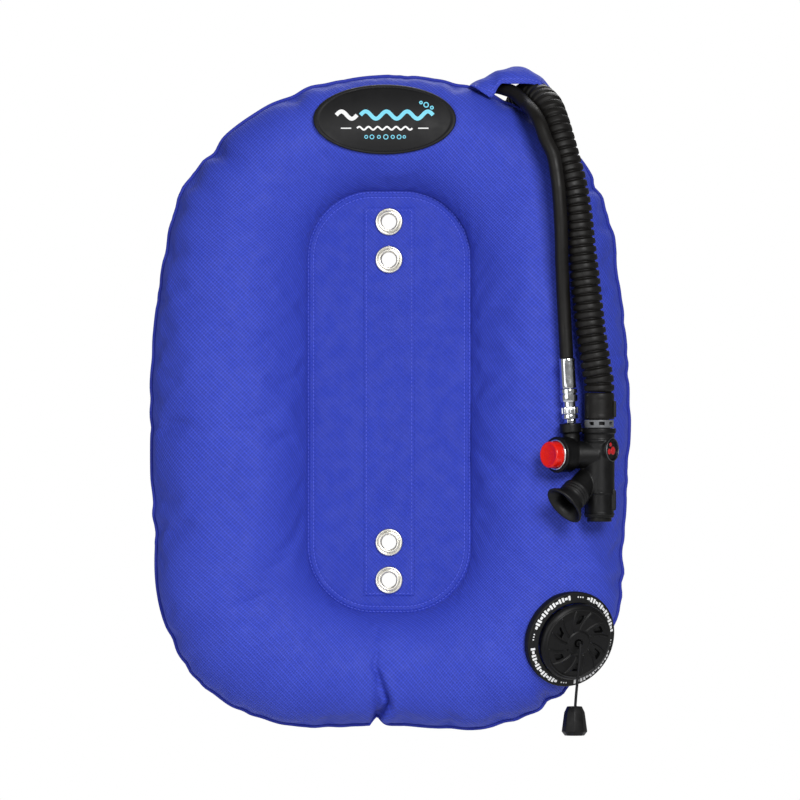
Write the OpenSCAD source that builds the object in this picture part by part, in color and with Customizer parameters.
// Donut-wing buoyancy compensator: an inflatable ring sewn round a flat centre
// panel, with a shoulder inflator on a corrugated hose, a low-pressure hose and
// a lower dump valve. Upright, front towards -Y, wearer's tank behind it (+Y).
// Origin: midway between the two bolt eyelets of the upper mounting position.

/* [Wing] */
// Half-thickness of the inflated side tube at its crown
crown_h = 48; // [40:1:50]
// Width of the side tube, centre panel seam to outer edge
side_tube_w = 134.5; // [128:0.5:136]
// Width of the top tube above the panel
top_tube_w = 99; // [97:0.5:100]
// Width of the bottom tube below the panel
bottom_tube_w = 97; // [95:0.5:99]
// Depth of the fold in the middle of the bottom edge
fold_depth = 9; // [0:1:12]
// Thickness of the woven outer shell
shell_wall = 1.2; // [1:0.1:1.6]
// Thickness of the welded bladder film
bladder_wall = 0.6; // [0.5:0.1:0.8]

/* [Centre panel] */
// Half-width of the centre panel
panel_half_w = 71.5; // [68:0.5:74]
// Radius of the panel's corners
panel_corner_r = 58; // [50:1:60]
// Height of the panel's top seam above the origin
panel_top = 166.6; // [160:0.1:170]
// Height of the panel's bottom seam (below the origin)
panel_bottom = -201.4; // [-204:0.1:-196]
// Half-width of the sewn reinforcing strip
strip_half_w = 22; // [18:1:26]

/* [Mounting eyelets] */
// Spacing of the two backplate bolts
bolt_spacing = 279.4; // [279.4]
// Drop from the upper to the lower mounting position
bolt_drop = 33; // [30:1:36]
// Radius of an eyelet's hole
eyelet_r = 6.35; // [6:0.05:6.5]
// Outer radius of an eyelet's rolled flange
eyelet_flange_r = 12; // [11:0.5:12.5]

/* [Hoses] */
// Outer diameter of the corrugated hose
corrugated_d = 26.5; // [25:0.5:26.5]
// Outer diameter of the low-pressure hose
lp_d = 11.8; // [11:0.1:11.8]
// Distance from the swing pivot to the cut end of each upper hose
knuckle_gap = 0.5; // [0.4:0.1:1]

/* [Inflator] */
// Radius of the inflator's upper barrel
barrel_r = 13.3; // [13:0.1:13.6]
// Radius of the inflator's lower barrel
lower_barrel_r = 12.65; // [12.4:0.05:12.8]
// Radius of the inflate button
button_r = 11.4; // [11:0.1:11.4]
// How far the inflate button stands out of its housing
button_stand = 9; // [8:0.5:10]

/* [Dump valve] */
// Outer radius of the flexible ring round the valve
ring_r = 45; // [44:0.5:46]
// Outer radius of the valve cap
cap_r = 34; // [33:0.5:34]
// Radius of the pull knob at its widest
knob_r = 11.2; // [10:0.2:12]

/* [Hidden] */
$fn = 48;

// Colours
BLUE = [0.26, 0.32, 0.74];
DARK_BLUE = [0.17, 0.22, 0.58];
FILM = [0.75, 0.78, 0.8];
BLACK = [0.08, 0.08, 0.08];
GREY = [0.35, 0.35, 0.36];
RED = [0.85, 0.1, 0.08];
CHROME = [0.8, 0.8, 0.82];
BRASS = [0.75, 0.6, 0.3];

// ---- shape of the ring -----------------------------------------------------
// Each station is a ray that leaves the panel outline at a right angle; the
// tube's cross-section on it is half an ellipse in front and half behind.
corner_x = panel_half_w - panel_corner_r;
corner_top = panel_top - panel_corner_r;
corner_bottom = panel_bottom + panel_corner_r;
side_mid = (corner_top + corner_bottom) / 2 - 17;
side_run = corner_top - side_mid;
corner_step = 10;
flat_step = corner_x / 2;
arc_steps = 8;
seam_gap = 0.15;

// Tube width: on the sides by height, in the corners by angle above or below
// the horizontal, and across the bottom with its fold.
function width_side(z) = side_tube_w - 11.4 * pow((z - side_mid) / side_run, 2);
function width_upper(a) = top_tube_w + (width_side(corner_top) - top_tube_w) * pow(cos(a), 3);
function width_lower(a) =
  bottom_tube_w + (width_side(corner_bottom) - bottom_tube_w) * pow(cos(a), 2)
  + 15.7 * pow(max(sin(2 * a), 0), 1.3);
function width_fold(x) = bottom_tube_w - fold_depth * exp(-pow((x + 9) / 6, 2));
function crown(w) = crown_h * pow(w / side_tube_w, 0.6);

// A station is [inner point, direction, width], points as [x, z].
function upper_stations(side) = [
  for (a = [0 : corner_step : 90])
    [[side * (corner_x + panel_corner_r * cos(a)), corner_top + panel_corner_r * sin(a)],
     [side * cos(a), sin(a)], width_upper(a)]
];
function lower_stations(side) = [
  for (a = [90 : -corner_step : 0])
    [[side * (corner_x + panel_corner_r * cos(a)), corner_bottom - panel_corner_r * sin(a)],
     [side * cos(a), -sin(a)], width_lower(a)]
];
side_rows = 7;
function side_stations(side) = [
  for (i = [1 : side_rows])
    let (z = corner_bottom + (corner_top - corner_bottom) * i / (side_rows + 1))
    [[side * panel_half_w, z], [side, 0], width_side(z)]
];
function flat_stations(z, up) = [
  for (i = [-1 : 1])
    [[i * flat_step, z], [0, up], up > 0 ? top_tube_w : width_fold(i * flat_step)]
];
function reversed(list) = [for (i = [len(list) - 1 : -1 : 0]) list[i]];
stations = concat(
  side_stations(1), upper_stations(1), reversed(flat_stations(panel_top, 1)),
  reversed(upper_stations(-1)), reversed(side_stations(-1)),
  reversed(lower_stations(-1)), flat_stations(panel_bottom, -1), lower_stations(1)
);

// Point of the tube wall: phi from 0 at the panel seam to 180 at the outer edge,
// inset from the outer surface by t, on the front (face = -1) or back (face = 1).
function wall_point(st, phi, t, face) =
  let (w = st[2], r = w / 2 - t * (1 - 0.5 * sin(phi)), u = w / 2 - r * cos(phi))
  [st[0][0] + st[1][0] * u,
   face * (seam_gap + (crown(w) - t - seam_gap) * sin(phi)),
   st[0][1] + st[1][1] * u];

// Height of the ring's surface over the point [x, z].
function tube_u(x, z) =
  (z <= corner_top && z >= corner_bottom)
    ? [abs(x) - panel_half_w, width_side(z)]
    : let (dx = max(abs(x) - corner_x, 0), dz = z > 0 ? z - corner_top : corner_bottom - z,
           a = atan2(dz, dx))
      [norm([dx, dz]) - panel_corner_r, z > 0 ? width_upper(a) : width_lower(a)];
function tube_height(x, z) =
  let (s = tube_u(x, z), c = 1 - 2 * s[0] / s[1])
  abs(c) >= 1 ? 0 : crown(s[1]) * sqrt(1 - c * c);

// ---- building tools --------------------------------------------------------
function unit(v) = v / norm(v);

// Solid skinned over equal rings of points. Rings run so that the faces point
// outwards; loop joins the last ring to the first, otherwise the ends close. A
// folded ring is a thin arch, out and back, and its ends close from side to side.
module skin(rings, loop = false, folded = false) {
  n = len(rings[0]);
  m = len(rings);
  points = [for (ring = rings) for (p = ring) p];
  last = loop ? m - 1 : m - 2;
  sides = [
    for (j = [0 : last]) for (i = [0 : n - 1])
      let (a = j * n + i, b = j * n + (i + 1) % n,
           k = (j + 1) % m, c = k * n + (i + 1) % n, d = k * n + i)
      each [[a, c, b], [a, d, c]]
  ];
  cap = folded
    ? [for (i = [0 : n / 2 - 2]) each [[i, i + 1, n - 2 - i], [i, n - 2 - i, n - 1 - i]]]
    : [[for (i = [0 : n - 1]) i]];
  far_cap = [for (f = cap) [for (i = [len(f) - 1 : -1 : 0]) (m - 1) * n + f[i]]];
  ends = loop ? [] : concat(cap, far_cap);
  polyhedron(points, concat(sides, ends));
}

// Circle of the given radius round a point of a path, square to the path.
function path_ring(path, i, r, sides, ref) =
  let (before = path[max(i - 1, 0)], after = path[min(i + 1, len(path) - 1)],
       t = unit(after - before), a = unit(cross(ref, t)), b = cross(t, a))
  [for (k = [0 : sides - 1]) path[i] + r * (cos(360 * k / sides) * a + sin(360 * k / sides) * b)];

module tube(path, r, sides, ref = [1, 0, 0]) {
  skin([for (i = [0 : len(path) - 1]) path_ring(path, i, r, sides, ref)]);
}

// The same with a domed start, centred on the path's first point.
module domed_tube(path, r, sides, ref = [1, 0, 0]) {
  t = unit(path[1] - path[0]);
  dome = [
    for (q = [80, 60, 30])
      [for (p = path_ring(path, 0, r * cos(q), sides, ref)) p - t * r * sin(q)]
  ];
  body = [for (i = [0 : len(path) - 1]) path_ring(path, i, r, sides, ref)];
  skin(concat(dome, body));
}

// Helical spring along local +Z.
module coil_spring(coil_r, wire_r, length, turns) {
  per_turn = 10;
  path = [
    for (i = [0 : turns * per_turn])
      [coil_r * cos(360 * i / per_turn), coil_r * sin(360 * i / per_turn),
       wire_r + (length - 2 * wire_r) * i / (turns * per_turn)]
  ];
  tube(path, wire_r, 6, [0, 0, 1]);
}

// Ring or disc along local +Z.
module ring(outer, inner, low, high) {
  rotate_extrude() translate([inner, low]) square([outer - inner, high - low]);
}
module disc(r, low, high) {
  translate([0, 0, low]) cylinder(r = r, h = high - low);
}

// Moves local +Z to a direction, at a point.
module facing(point, direction) {
  d = unit(direction);
  translate(point) rotate([0, acos(d[2]), atan2(d[1], d[0])]) children();
}

// ---- shell and bladder -----------------------------------------------------
function profile(st, outer_t, inner_t, face) =
  let (steps = [0 : arc_steps],
       outer = [for (i = steps) wall_point(st, 180 * i / arc_steps, outer_t, face)],
       inner = [for (i = steps) wall_point(st, 180 * (arc_steps - i) / arc_steps, inner_t, face)])
  concat(outer, inner);

module half_ring(outer_t, inner_t, face) {
  rings = [for (st = stations) profile(st, outer_t, inner_t, face)];
  skin(face < 0 ? rings : [for (r = rings) reversed(r)], loop = true);
}

bladder_t = shell_wall + 0.4;

// Dump valve place: on the outer shoulder of the lower corner, on the wearer's
// left. The axis is square to the ring there.
dump_at = [160.4, -36.8, -224.5];
dump_axis = unit([0.458, -0.852, -0.254]);
dump_hole_r = 32;
dump_base_r = 31.5;

// Elbow place: crown of the back shell, behind the shoulder.
elbow_at = [108, 0, 170];
elbow_hole_r = 14.6;
elbow_surface = tube_height(elbow_at[0], elbow_at[2]);

module dump_hole() {
  facing(dump_at, dump_axis) disc(dump_hole_r, -30, 30);
}
module elbow_hole() {
  translate([elbow_at[0], 10, elbow_at[2]]) rotate([-90, 0, 0]) cylinder(r = elbow_hole_r, h = 60);
}

module shell_front() {
  color(BLUE) difference() {
    half_ring(0, shell_wall, -1);
    dump_hole();
  }
}
module shell_back() {
  color(BLUE) difference() {
    half_ring(0, shell_wall, 1);
    elbow_hole();
  }
}
module bladder_front() {
  color(FILM) difference() {
    half_ring(bladder_t, bladder_t + bladder_wall, -1);
    dump_hole();
  }
}
module bladder_back() {
  color(FILM) difference() {
    half_ring(bladder_t, bladder_t + bladder_wall, 1);
    elbow_hole();
  }
}

// Bound outer seam: a narrow folded tape, drawn as a cord round the edge.
binding_r = 1.3;
module edge_binding() {
  edge = [
    for (st = stations)
      let (p = st[0] + st[1] * (st[2] + binding_r + 0.2)) [p[0], 0, p[1]]
  ];
  n = len(edge);
  sides = 6;
  rings = [
    for (i = [0 : n - 1])
      let (t = unit(edge[(i + 1) % n] - edge[(i + n - 1) % n]), out = cross([0, 1, 0], t))
      [for (k = [0 : sides - 1])
        edge[i] + binding_r * (cos(360 * k / sides) * out + sin(360 * k / sides) * [0, 1, 0])]
  ];
  color(DARK_BLUE) skin(rings, loop = true);
}

// ---- centre panel ----------------------------------------------------------
panel_gap = 0.4;
panel_t = 1.5;
stiffener_t = 1;
strip_t = 1;
front_face = stiffener_t + 0.1;
strip_face = front_face + panel_t + 0.1;
barrel_wall = 1;
eyelet_z = [bolt_spacing / 2, bolt_spacing / 2 - bolt_drop,
            -bolt_spacing / 2, -bolt_spacing / 2 - bolt_drop];

// Panel outline, drawn in the local XY plane of a plate standing in XZ.
module panel_outline(inset) {
  r = panel_corner_r - inset;
  union() {
    for (x = [-corner_x, corner_x]) for (z = [corner_bottom, corner_top])
      translate([x, z]) circle(r = r, $fn = 96);
    translate([-corner_x - r, corner_bottom]) square([2 * (corner_x + r), corner_top - corner_bottom]);
    translate([-corner_x, corner_bottom - r])
      square([2 * corner_x, corner_top - corner_bottom + 2 * r]);
  }
}
// Plate between two Y values; its drawing's Y is the model's Z.
module upright_plate(y_low, y_high) {
  translate([0, y_high, 0]) rotate([90, 0, 0]) linear_extrude(y_high - y_low) children();
}
module eyelet_clearance(y_low, y_high) {
  for (z = eyelet_z) translate([0, y_high, z]) rotate([90, 0, 0])
    cylinder(r = eyelet_r + barrel_wall + 0.2, h = y_high - y_low);
}
module panel_layer(y_low, y_high, inset) {
  difference() {
    upright_plate(y_low, y_high) panel_outline(inset);
    eyelet_clearance(y_low - 1, y_high + 1);
  }
}
module strip_layer(y_low, y_high) {
  strip_low = -186.5;
  strip_high = 152;
  difference() {
    upright_plate(y_low, y_high)
      translate([-strip_half_w, strip_low]) square([2 * strip_half_w, strip_high - strip_low]);
    eyelet_clearance(y_low - 1, y_high + 1);
  }
}
module panel_front() { color(BLUE) panel_layer(-front_face - panel_t, -front_face, panel_gap); }
module panel_back() { color(BLUE) panel_layer(front_face, front_face + panel_t, panel_gap); }
module panel_stiffener() { color(GREY) panel_layer(-stiffener_t, stiffener_t, 6); }
module strip_front() { color(BLUE) strip_layer(-strip_face - strip_t, -strip_face); }
module strip_back() { color(BLUE) strip_layer(strip_face, strip_face + strip_t); }

// Rolled flange and barrel of an eyelet, turned about its hole.
eyelet_face = strip_face + strip_t + 0.1;
module eyelet(z) {
  translate([0, 0, z]) rotate([90, 0, 0]) rotate_extrude() {
    translate([eyelet_r, -eyelet_face - 1.2]) square([barrel_wall, 2 * eyelet_face + 1.2 + 0.6]);
    translate([eyelet_r, eyelet_face]) square([eyelet_flange_r - eyelet_r - 1, 1]);
    translate([eyelet_flange_r - 1.2, eyelet_face + 1]) circle(r = 1, $fn = 24);
    translate([eyelet_r + 1, eyelet_face + 1]) circle(r = 1, $fn = 24);
  }
}
module eyelets() { color(CHROME) for (z = eyelet_z) eyelet(z); }
module eyelet_washers() {
  color(CHROME) for (z = eyelet_z)
    translate([0, 0, z]) rotate([-90, 0, 0])
      ring(eyelet_flange_r - 0.5, eyelet_r + barrel_wall + 0.15, eyelet_face, eyelet_face + 0.9);
}

// ---- oval patch on the top tube --------------------------------------------
patch_at = [-3.7, 228];
patch_rx = 62;
patch_rz = 30.6;
function patch_ring(scale_by, lift) = [
  for (a = [0 : 10 : 350])
    let (x = patch_at[0] + patch_rx * scale_by * cos(a), z = patch_at[1] + patch_rz * scale_by * sin(a))
    [x, -tube_height(x, z) - lift, z]
];
module oval_patch() {
  low = 1.2;
  high = 3.2;
  color(BLACK) skin([
    patch_ring(0.05, low), patch_ring(0.35, low), patch_ring(0.7, low), patch_ring(1, low),
    patch_ring(1, high), patch_ring(0.7, high), patch_ring(0.35, high), patch_ring(0.05, high)
  ]);
}

// ---- hood over the hoses ---------------------------------------------------
// Stations along the rim: [x, height of the lips, height of the ridge, reach in Y].
hood_stations = [
  [76, 262, 264.5, 21], [84, 262, 267, 21], [92, 262, 270, 21], [100, 262, 273, 21],
  [108, 261, 275, 21], [116, 260.5, 274.5, 21], [124, 260.5, 272, 21], [131, 260, 268.5, 19],
  [137, 260, 264, 15], [142, 254.5, 257.5, 10]
];
hood_t = 1.2;
function hood_ring(st, t) = [
  for (a = [-90 : 15 : 90])
    [st[0], (st[3] - t) * sin(a), st[1] + (st[2] - st[1] - t) * cos(a)]
];
module hose_hood() {
  color(BLUE) skin([
    for (st = hood_stations)
      concat(hood_ring(st, hood_t), reversed(hood_ring(st, 0)))
  ], folded = true);
}

// ---- elbow behind the shoulder ---------------------------------------------
elbow_y = 63.5;
elbow_bore_r = 9;
elbow_end = 185.5;
module at_elbow() {
  translate(elbow_at) rotate([-90, 0, 0]) children();
}
module elbow_flange() { color(BLACK) at_elbow() ring(23, 12.3, 33, 35); }
module elbow_gasket() { color(GREY) at_elbow() ring(19, 12.3, 35.2, 36.8); }
module elbow() {
  base = elbow_surface + 1.2;
  color(BLACK) difference() {
    union() {
      at_elbow() disc(12, 32, elbow_y);
      at_elbow() disc(20, base, base + 3);
      at_elbow() disc(12.5, base + 2.5, elbow_y);
      translate([elbow_at[0], elbow_y, elbow_at[2]]) sphere(r = 12.5);
      translate([elbow_at[0], elbow_y, elbow_at[2]]) disc(12.5, 0, elbow_end - elbow_at[2]);
    }
    at_elbow() disc(elbow_bore_r, 30, elbow_y);
    translate([elbow_at[0], elbow_y, elbow_at[2]]) sphere(r = elbow_bore_r);
    translate([elbow_at[0], elbow_y, elbow_at[2]]) disc(elbow_bore_r, 0, 30);
  }
}
module elbow_lock_ring() {
  low = elbow_surface + 4.4;
  color(GREY) at_elbow() ring(15.4, 12.8, low, low + 2);
}
module elbow_hose_tie() {
  color(BLACK) translate([elbow_at[0], elbow_y, 0]) difference() {
    union() {
      disc(corrugated_d / 2 + 1.4, 189, 193);
      translate([-3, corrugated_d / 2, 189]) cube([6, 4, 4]);
    }
    disc(corrugated_d / 2 + 0.2, 180, 200);
  }
}

// ---- hose routes -----------------------------------------------------------
// Both hoses turn with the inflator about one pivot line under the hood.
pivot_y = -30;
pivot_z = 239.5;
corrugated_back = [
  [108, 63.5, 186], [108, 63.5, 199], [108.5, 59.5, 213], [110, 50, 226],
  [112.5, 37, 237.5], [117, 20, 246.5], [123, 2, 250], [130, -14, 247.5]
];
corrugated_front = [
  [138, pivot_y, pivot_z], [142, -38, 230], [145.5, -43.5, 219], [149, -47, 207],
  [152, -49.5, 196], [157, -53, 178], [160.5, -55, 162], [163.5, -56.5, 142],
  [165.5, -57, 123], [169.5, -58, 90], [172, -59, 68], [174.5, -59.5, 46],
  [179, -60, 16], [181.5, -60, 2], [182, -60, -7], [182, -60, -9]
];
lp_back = [
  [108, -17, 248.5], [101, -8, 252.5], [94, 1, 256], [86, 13, 257],
  [78, 27, 252], [72, 38, 241], [68, 46, 226], [66, 50, 208],
  [65, 51, 188], [65, 51, 165], [65, 51, 140], [65, 51, 115],
  [65, 51, 90], [65, 51, 65], [65, 51, 40], [65, 51, 15], [65, 51, -5]
];
lp_front = [
  [117.5, pivot_y, pivot_z], [124, -47, 231.5], [129.5, -58, 221.5], [136, -64, 209],
  [142, -68, 196], [145, -70, 180], [147, -71, 162], [148.8, -69.5, 132],
  [149.5, -66.5, 104], [150.8, -63, 76], [152.4, -61, 46], [153.9, -60, 19.5]
];

// Cut the upper hoses square, a knuckle's radius short of the pivot.
function cut_short(path, goal, r) =
  let (end = path[len(path) - 1], d = unit(goal - end)) concat(path, [goal - r * d]);

corrugated_r = corrugated_d / 2;
lp_r = lp_d / 2;
hose_sides = 10;
module corrugated_hose_upper() {
  color(BLACK)
    tube(cut_short(corrugated_back, corrugated_front[0], corrugated_r + knuckle_gap),
         corrugated_r, hose_sides);
}
module corrugated_hose_lower() { color(BLACK) domed_tube(corrugated_front, corrugated_r, hose_sides); }
module lp_hose_upper() {
  color(BLACK)
    tube(cut_short(reversed(lp_back), lp_front[0], lp_r + knuckle_gap), lp_r, 8);
}
module lp_hose_lower() { color(BLACK) domed_tube(lp_front, lp_r, 8); }

// ---- inflator --------------------------------------------------------------
barrel_at = [182, -60, 0];
button_at = [151, -66, -63];
button_angle = 48;
button_axis = [-sin(button_angle), -cos(button_angle), 0];
housing_r = 15.2;
housing_front = 9;
mouth_at = [152, -84, -106];
mouth_axis = unit([-0.534, -0.629, -0.566]);
mouth_long = unit([0.678, 0.079, -0.731]);
emblem_angle = 57;
emblem_axis = [sin(emblem_angle), -cos(emblem_angle), 0];
emblem_z = -58.7;

// The low-pressure inlet leans a little towards the wearer's middle.
inlet_at = [157, -60, -36];
inlet_lean = -3.1;
module at_inlet() {
  translate(inlet_at) rotate([0, inlet_lean, 0]) children();
}
module at_barrel() { translate(barrel_at) children(); }
module at_button() { facing(button_at, button_axis) children(); }
module at_mouth() { facing(mouth_at, mouth_axis) children(); }
module at_emblem() { facing(barrel_at + [0, 0, emblem_z], emblem_axis) children(); }

module hose_cuff() {
  color(BLACK) at_barrel() difference() {
    union() {
      disc(13, -32.5, -9.3);
      translate([10, -4, -30.5]) cube([4.8, 8, 14]);
    }
    disc(9.3, -40, 0);
  }
}
module cuff_ring() {
  windows = 8;
  color(GREY) at_barrel() difference() {
    ring(12.6, 9.3, -39.6, -33);
    for (i = [0 : windows - 1]) rotate([0, 0, 45 * i + 10])
      translate([8, -2.6, -37.6]) cube([8, 5.2, 3]);
  }
}
module inflator_body() {
  bridge_r = 12;
  bridge_y = -62;
  color(BLACK) difference() {
    union() {
      at_barrel() disc(9, -44, -14);
      at_barrel() disc(14.5, -44.6, -40);
      at_barrel() disc(barrel_r, -95, -44);
      at_barrel() disc(lower_barrel_r, -117.5, -94);
      translate([188, -67, -111]) cube([8.5, 14, 17.5]);
      translate([151, bridge_y, -63]) rotate([0, 90, 0]) cylinder(r = bridge_r, h = 31);
      at_button() disc(housing_r, -6, housing_front);
      at_inlet() disc(9.5, -8, 0);
      at_inlet() disc(7.5, -22, 0);
      at_mouth() disc(11, -40, -12);
      at_emblem() disc(10.6, 6, barrel_r - 0.4);
    }
    at_barrel() disc(7.2, -90, 0);
    at_barrel() disc(2.7, -110, -80);
    at_barrel() disc(11, -130, -100);
    at_button() disc(button_r + 0.3, -2, 20);
    at_button() disc(4, -18, 0);
    at_inlet() disc(3, -22, 1);
    at_mouth() disc(7, -34, 0);
    at_emblem() disc(9.1, barrel_r - 2, 20);
  }
}
module lp_nipple() {
  color(CHROME) at_inlet() difference() {
    union() {
      translate([0, 0, 0.2]) cylinder(r = 5.2, h = 3.6, $fn = 6);
      disc(3.6, 3.6, 12);
      disc(2.8, -8, 0.4);
    }
    disc(1.5, -10, 20);
  }
}
module button_bezel() {
  color(CHROME) at_button() ring(13.2, button_r + 0.4, housing_front + 0.1, housing_front + 1.1);
}
// The button is a cup over its spring, with a stem that works the valve.
module inflate_button() {
  top = housing_front + button_stand;
  color(RED) at_button() difference() {
    union() {
      rotate_extrude() {
        translate([0, 3]) square([button_r, top - 4.5]);
        translate([0, top - 2]) square([button_r - 1.5, 2]);
        intersection() {
          translate([button_r - 1.5, top - 1.5]) circle(r = 1.5, $fn = 24);
          translate([0, 3]) square([button_r, top]);
        }
      }
    }
    ring(9.2, 2.6, 0, top - 3);
  }
}
module inflate_valve() {
  color(BRASS) at_button() {
    disc(2.2, -12, 2.6);
    ring(3.6, 2.2, -12, -9);
    ring(3.6, 2.2, -6, -4);
  }
}
module inflate_spring() {
  color(CHROME) at_button() translate([0, 0, -1.9]) coil_spring(6.6, 0.6, 16.6, 6);
}

// Exhaust: the end button lifts a disc off its seat in the barrel.
module deflate_button() {
  color(BLACK) at_barrel() difference() {
    union() {
      disc(10.7, -121, -106);
      disc(2.3, -107, -89.8);
    }
    ring(8.6, 4, -119, -105);
  }
}
module exhaust_disc() {
  color(GREY) at_barrel() {
    disc(6.6, -89.7, -87.7);
    disc(2.3, -87.8, -84);
  }
}
module deflate_spring() {
  color(CHROME) at_barrel() translate([0, 0, -118.8]) coil_spring(6.3, 0.6, 18.6, 6);
}

// Ribbed neck flaring to an oval mouth; long half-axis then short half-axis.
function mouth_ring(a, b, along) =
  let (short = cross(mouth_axis, mouth_long))
  [for (k = [0 : 15 : 345])
    mouth_at + along * mouth_axis + a * cos(k) * mouth_long + b * sin(k) * short];
module mouthpiece() {
  color(BLACK) skin([
    mouth_ring(11.3, 11.3, -20), mouth_ring(13, 13, -19.5), mouth_ring(13, 13, -17),
    mouth_ring(11.8, 11.8, -16), mouth_ring(13, 13, -14.5), mouth_ring(11.8, 11.8, -13),
    mouth_ring(13, 13, -11.5), mouth_ring(12, 11.5, -9.5), mouth_ring(13.5, 11.5, -6),
    mouth_ring(18.5, 13, 0), mouth_ring(18.8, 13.2, 2), mouth_ring(16.5, 11.5, 2.2),
    mouth_ring(9.5, 8.5, -5), mouth_ring(8.5, 8.5, -11.5), mouth_ring(11.3, 11.3, -11.6)
  ], loop = true);
}
module emblem_disc() { color(RED) at_emblem() disc(8.6, barrel_r - 1.9, barrel_r - 0.9); }
module emblem_rim() { color(CHROME) at_emblem() ring(10.3, 9.2, barrel_r + 0.05, barrel_r + 0.7); }

// ---- quick disconnect and ferrule ------------------------------------------
module lp_ferrule() {
  color(CHROME) at_inlet() difference() {
    disc(6.7, 30.3, 56.4);
    disc(lp_r + 0.25, 52, 60);
    disc(2, 20, 60);
  }
}
module qd_body() {
  color(CHROME) at_inlet() difference() {
    union() {
      disc(7, 18.6, 30.1);
      disc(5.5, 4, 19);
    }
    disc(3.9, 0, 14);
    disc(2, 10, 40);
  }
}
module qd_sleeve() {
  color(CHROME) at_inlet() difference() {
    ring(7.7, 5.8, 8.2, 14.3);
    for (i = [0 : 11]) rotate([0, 0, 30 * i]) translate([8.2, 0, 0]) cylinder(r = 1, h = 30, $fn = 16);
  }
}
module qd_ring() { color(CHROME) at_inlet() ring(7, 5.6, 4, 7.8); }

// Free end: crimped ferrule, swivel hex and a 3/8-24 thread, drawn plain.
stage_at = [65, 51, -5];
module at_stage() { translate(stage_at) rotate([180, 0, 0]) children(); }
module stage_ferrule() {
  color(CHROME) at_stage() difference() {
    disc(7, -14, 8);
    disc(lp_r + 0.05, -20, 0);
    disc(2, -1, 10);
  }
}
module stage_fitting() {
  color(CHROME) at_stage() difference() {
    union() {
      translate([0, 0, 8.2]) cylinder(r = 9.2, h = 8, $fn = 6);
      disc(4, 16, 18.4);
      disc(4.76, 18.4, 27);
    }
    disc(2, 0, 40);
  }
}
module stage_o_ring() {
  color(BLACK) at_stage() translate([0, 0, 17.3])
    rotate_extrude() translate([5, 0]) circle(r = 0.9, $fn = 20);
}

// ---- dump valve ------------------------------------------------------------
module at_dump() { facing(dump_at, dump_axis) children(); }
module dump_base() {
  color(BLACK) at_dump() difference() {
    union() {
      disc(dump_base_r + 2, -21, -19);
      disc(dump_base_r, -21, 1);
    }
    disc(dump_base_r - 2.3, -10, 3);
    disc(12, -30, 0);
    ring(dump_base_r - 2.5, 14, -30, -13);
  }
}
module dump_gasket() {
  color(GREY) at_dump() ring(dump_base_r + 1, dump_base_r - 2.2, 1.1, 2);
}
module dump_cap() {
  slots = 6;
  color(BLACK) at_dump() difference() {
    rotate_extrude() polygon([
      [3.2, 5.6], [25, 5.6], [28, 2.1], [cap_r, 2.1], [cap_r, 4.4], [30, 8], [24, 8.8], [3.2, 8.8]
    ]);
    for (i = [0 : slots - 1]) rotate([0, 0, 60 * i])
      linear_extrude(12)
        polygon([[12, -3.4], [23, -7.5], [23, 7.5], [12, 3.4]]);
  }
}
// Valve disc held on its seat by the spring; the stem runs out through the cap.
module dump_disc() {
  color(GREY) at_dump() {
    disc(16, -9.9, -7.6);
    disc(2.4, -7.7, 9.5);
  }
}
module dump_spring() {
  color(CHROME) at_dump() translate([0, 0, -7.5]) coil_spring(7, 0.6, 12.4, 4);
}

// Flexible ring that follows the shell: out along the tube's section and round
// it, as a circle laid on the surface.
ring_corner = [corner_x, corner_bottom];
dump_radial = [dump_at[0], dump_at[2]] - ring_corner;
dump_theta = atan2(-dump_radial[1], dump_radial[0]);
dump_w = width_lower(dump_theta);
dump_phi = acos(1 - 2 * (norm(dump_radial) - panel_corner_r) / dump_w);
section_scale = 59;
function ring_point(rho, a, lift) =
  let (phi = min(dump_phi + rho * cos(a) / section_scale * 180 / PI, 176),
       q = panel_corner_r + dump_w / 2 * (1 - cos(phi)) - lift * cos(phi),
       theta = dump_theta + rho * sin(a) / norm(dump_radial) * 180 / PI)
  [ring_corner[0] + q * cos(theta),
   -(crown(dump_w) + lift) * sin(phi),
   ring_corner[1] - q * sin(theta)];
function ring_loop(rho, lift) = [for (a = [0 : 12 : 348]) ring_point(rho, a, lift)];
module dump_ring() {
  inner = cap_r + 1.2;
  low = 1.5;
  high = 3;
  color(BLACK) skin(
    [ring_loop(inner, low), ring_loop(inner, high), ring_loop(ring_r, high), ring_loop(ring_r, low)],
    loop = true);
}

cord_start = dump_at + 9.6 * dump_axis;
cord_r = 1.25;
pull_route = [
  cord_start, cord_start + 2.5 * dump_axis, [166, -47.5, -229.5], [165.5, -48, -236],
  [165, -48, -243], [164.2, -48, -251], [163.4, -48, -259], [162.6, -48, -267],
  [162, -48, -274], [161.5, -48, -281]
];
module pull_cord() { color(BLACK) tube(pull_route, cord_r, 8); }
module pull_knob() {
  // Blunt eight-sided bell with a drilled top
  color(BLACK) translate([160.8, -48, 0]) difference() {
    union() {
      translate([0, 0, -306.5]) cylinder(r1 = knob_r - 2.7, r2 = knob_r, h = 3.5, $fn = 8);
      translate([0, 0, -303]) cylinder(r1 = knob_r, r2 = 9, h = 16.5, $fn = 8);
      translate([0, 0, -286.5]) cylinder(r1 = 9, r2 = 6.5, h = 5.3, $fn = 8);
    }
    translate([0, 0, -290]) cylinder(r = 0.8, h = 12);
  }
}

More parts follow.
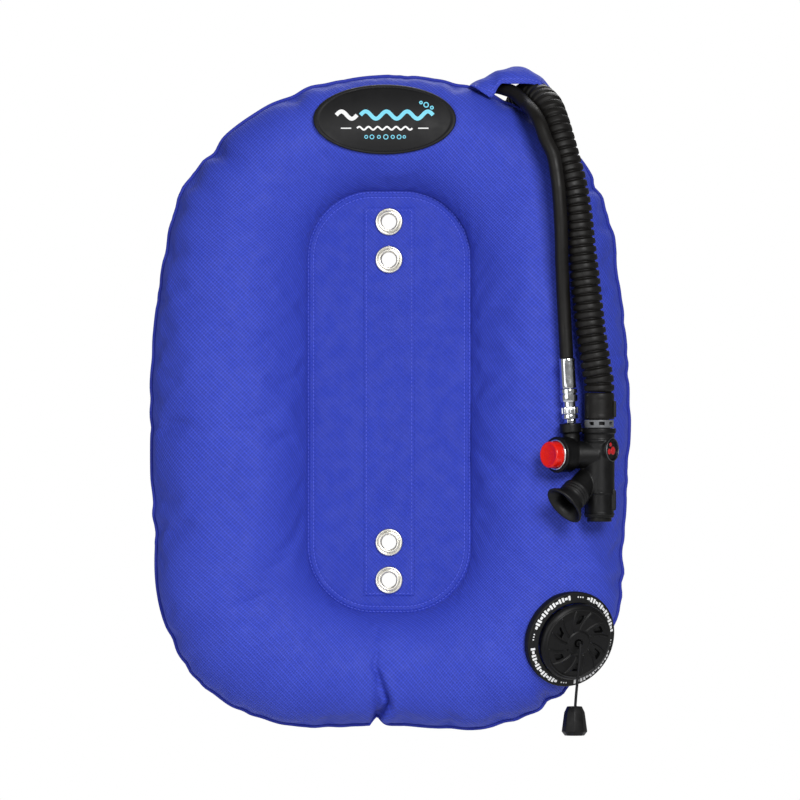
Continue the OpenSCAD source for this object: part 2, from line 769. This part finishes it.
// ---- bladder access zip on the back of the panel ----------------------------
zip_x = 45;
zip_low = -150;
zip_high = 120;
zip_face = front_face + panel_t + 0.1;
tooth_pitch = 3;
module zip_tape() {
  color(BLUE) upright_plate(zip_face, zip_face + 0.5)
    translate([zip_x - 11, zip_low - 6]) square([22, zip_high - zip_low + 12]);
}
module zip_teeth() {
  core = 1.2;
  tip = 2.6;
  right = [
    for (z = [zip_low : tooth_pitch : zip_high - tooth_pitch])
      each [[core, z], [tip, z], [tip, z + 1.5], [core, z + 1.5]]
  ];
  left = [for (p = reversed(right)) [-p[0], p[1] + 0.7]];
  color(BLACK) upright_plate(zip_face + 0.55, zip_face + 1.9)
    translate([zip_x, 0]) polygon(concat(right, left));
}
module zip_stops() {
  color(GREY) for (z = [zip_low - 4.5, zip_high + 1.5])
    upright_plate(zip_face + 0.6, zip_face + 2.2)
      translate([zip_x - 3.2, z]) square([6.4, 2.4]);
}
slider_z = 112;
pull_pin = [zip_x, zip_face + 6.4, slider_z];
module zip_slider() {
  top = zip_face + 2.3;
  color(CHROME) {
    difference() {
      union() {
        upright_plate(zip_face + 0.8, top + 1.3) translate([zip_x - 4.7, slider_z - 7]) square([9.4, 14]);
        for (s = [-1, 1]) translate([zip_x + s * 3.1 - 0.6, top + 1, slider_z - 1.5]) cube([1.2, 4.2, 3]);
        translate(pull_pin - [3, 0, 0]) rotate([0, 90, 0]) cylinder(r = 0.8, h = 6);
      }
      translate([zip_x - 3.1, 0, slider_z - 10]) cube([6.2, top, 20]);
    }
  }
}
module zip_pull() {
  color(CHROME) difference() {
    union() {
      translate(pull_pin - [1.9, 0, 0]) rotate([0, 90, 0]) cylinder(r = 2.1, h = 3.8);
      translate(pull_pin + [-1.9, -0.6, -5]) cube([3.8, 1.2, 5]);
      translate(pull_pin + [-3, -0.6, -26]) cube([6, 1.2, 22]);
    }
    translate(pull_pin - [5, 0, 0]) rotate([0, 90, 0]) cylinder(r = 1.1, h = 10);
  }
}

shell_front();
shell_back();
bladder_front();
bladder_back();
edge_binding();
panel_front();
panel_back();
panel_stiffener();
strip_front();
strip_back();
eyelets();
eyelet_washers();
oval_patch();
hose_hood();
elbow_flange();
elbow_gasket();
elbow();
elbow_lock_ring();
elbow_hose_tie();
corrugated_hose_upper();
corrugated_hose_lower();
hose_cuff();
cuff_ring();
inflator_body();
lp_nipple();
inflate_button();
button_bezel();
inflate_spring();
inflate_valve();
deflate_button();
deflate_spring();
exhaust_disc();
mouthpiece();
emblem_disc();
emblem_rim();
lp_hose_upper();
lp_hose_lower();
lp_ferrule();
qd_body();
qd_sleeve();
qd_ring();
stage_ferrule();
stage_fitting();
stage_o_ring();
dump_base();
dump_gasket();
dump_ring();
dump_cap();
dump_disc();
dump_spring();
pull_cord();
pull_knob();
zip_tape();
zip_teeth();
zip_stops();
zip_slider();
zip_pull();
